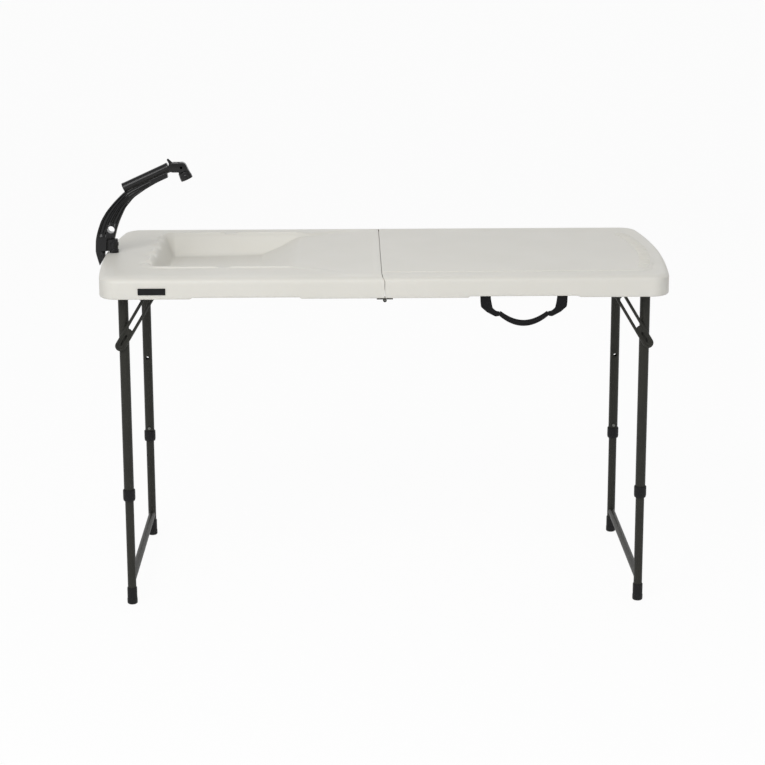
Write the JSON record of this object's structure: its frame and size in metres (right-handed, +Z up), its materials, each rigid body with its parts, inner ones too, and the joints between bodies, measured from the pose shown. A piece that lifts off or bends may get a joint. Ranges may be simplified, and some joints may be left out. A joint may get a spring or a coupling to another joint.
{
  "type": "fish cleaning table",
  "caption": "Folding fish cleaning table with a moulded sink, a flat work surface, telescoping folding legs, a carrying handle and a tilting faucet arm.",
  "frame": {"origin": "on the floor, midway between the ends of the object, the faucet included", "axes": "+X along the table towards the work half, -Y towards the working side, +Z up"},
  "size_m": [1.256, 0.6117, 0.9466],
  "materials": {
    "resin": "moulded polyethylene with a fine grain",
    "powder_steel": "grey-brown powder coat",
    "button_steel": "dull zinc plate",
    "black_plastic": "moulded black plastic",
    "faucet_plastic": "satin black plastic",
    "webbing": "woven polyester webbing"
  },
  "bodies": {
    "sink_half": {"top_sink_half": "resin", "rail_left_front": "powder_steel", "rail_left_back": "powder_steel", "hinge_leaf_left_front": "powder_steel", "hinge_leaf_left_back": "powder_steel", "hinge_pin_front": "button_steel", "hinge_pin_back": "button_steel", "badge_plate": "black_plastic"},
    "work_half": {"top_work_half": "resin", "rail_right_front": "powder_steel", "rail_right_back": "powder_steel", "hinge_leaf_right_front": "powder_steel", "hinge_leaf_right_back": "powder_steel", "handle_anchor_left": "black_plastic", "handle_anchor_right": "black_plastic"},
    "legs_left": {"cross_bar_left": "powder_steel", "upper_leg_left_front": "powder_steel", "collar_left_front": "black_plastic", "upper_leg_left_back": "powder_steel", "collar_left_back": "black_plastic"},
    "lower_legs_left": {"foot_bar_left": "powder_steel", "lower_leg_left_front": "powder_steel", "foot_left_front": "black_plastic", "lower_leg_left_back": "powder_steel", "foot_left_back": "black_plastic"},
    "stays_left": {"stay_left_front": "powder_steel", "stay_left_back": "powder_steel"},
    "button_left_front": {"lock_button_left_front": "button_steel"},
    "button_left_back": {"lock_button_left_back": "button_steel"},
    "legs_right": {"cross_bar_right": "powder_steel", "upper_leg_right_front": "powder_steel", "collar_right_front": "black_plastic", "upper_leg_right_back": "powder_steel", "collar_right_back": "black_plastic"},
    "lower_legs_right": {"foot_bar_right": "powder_steel", "lower_leg_right_front": "powder_steel", "foot_right_front": "black_plastic", "lower_leg_right_back": "powder_steel", "foot_right_back": "black_plastic"},
    "stays_right": {"stay_right_front": "powder_steel", "stay_right_back": "powder_steel"},
    "button_right_front": {"lock_button_right_front": "button_steel"},
    "button_right_back": {"lock_button_right_back": "button_steel"},
    "handle": {"handle_strap_left": "webbing", "handle_strap_right": "webbing", "handle_grip": "webbing"},
    "faucet": {"faucet_arm": "faucet_plastic", "faucet_socket": "faucet_plastic", "faucet_spout": "faucet_plastic", "faucet_neck": "faucet_plastic", "faucet_head_pin": "button_steel"},
    "spray_head": {"faucet_head": "faucet_plastic"}
  },
  "joints": [
    {"name": "middle_fold", "type": "hinge", "parent": "sink_half", "child": "work_half", "pos_m": [0.01, 0, 0.6857], "axis": [0, 1, 0], "range_deg": [0, 70]},
    {"name": "leg_fold_left", "type": "hinge", "parent": "sink_half", "child": "legs_left", "pos_m": [-0.545, 0, 0.708], "axis": [0, -1, 0], "range_deg": [0, 90]},
    {"name": "leg_slide_left", "type": "slide", "parent": "legs_left", "child": "lower_legs_left", "axis": [0, 0, 1], "range_m": [0, 0.172]},
    {"name": "stay_turn_left", "type": "hinge", "parent": "sink_half", "child": "stays_left", "pos_m": [-0.476, 0, 0.708], "axis": [0, -1, 0], "range_deg": [0, 121.1]},
    {"name": "button_press_left_front", "type": "slide", "parent": "legs_left", "child": "button_left_front", "axis": [0, 1, 0], "range_m": [-0.003, 0], "stiffness_N_per_m": 300, "springref_m": 0.001},
    {"name": "button_press_left_back", "type": "slide", "parent": "legs_left", "child": "button_left_back", "axis": [0, -1, 0], "range_m": [-0.003, 0], "stiffness_N_per_m": 300, "springref_m": 0.001},
    {"name": "leg_fold_right", "type": "hinge", "parent": "work_half", "child": "legs_right", "pos_m": [0.565, 0, 0.708], "axis": [0, 1, 0], "range_deg": [0, 90]},
    {"name": "leg_slide_right", "type": "slide", "parent": "legs_right", "child": "lower_legs_right", "axis": [0, 0, 1], "range_m": [0, 0.172]},
    {"name": "stay_turn_right", "type": "hinge", "parent": "work_half", "child": "stays_right", "pos_m": [0.496, 0, 0.708], "axis": [0, 1, 0], "range_deg": [0, 121.1]},
    {"name": "button_press_right_front", "type": "slide", "parent": "legs_right", "child": "button_right_front", "axis": [0, 1, 0], "range_m": [-0.003, 0], "stiffness_N_per_m": 300, "springref_m": 0.001},
    {"name": "button_press_right_back", "type": "slide", "parent": "legs_right", "child": "button_right_back", "axis": [0, -1, 0], "range_m": [-0.003, 0], "stiffness_N_per_m": 300, "springref_m": 0.001},
    {"name": "handle_swing", "type": "hinge", "parent": "work_half", "child": "handle", "pos_m": [0.303, -0.296, 0.69], "axis": [1, 0, 0], "range_deg": [-50, 50]},
    {"name": "faucet_lift", "type": "slide", "parent": "sink_half", "child": "faucet", "axis": [0, 0, 1], "range_m": [0, 0.06]},
    {"name": "head_tilt", "type": "hinge", "parent": "faucet", "child": "spray_head", "pos_m": [-0.434, 0, 0.927], "axis": [0, -1, 0], "range_deg": [-15, 45]}
  ],
  "couplings": [
    {"joint": "stay_turn_left", "follows": "leg_fold_left", "ratio": 1.3456},
    {"joint": "stay_turn_right", "follows": "leg_fold_right", "ratio": 1.3456}
  ]
}
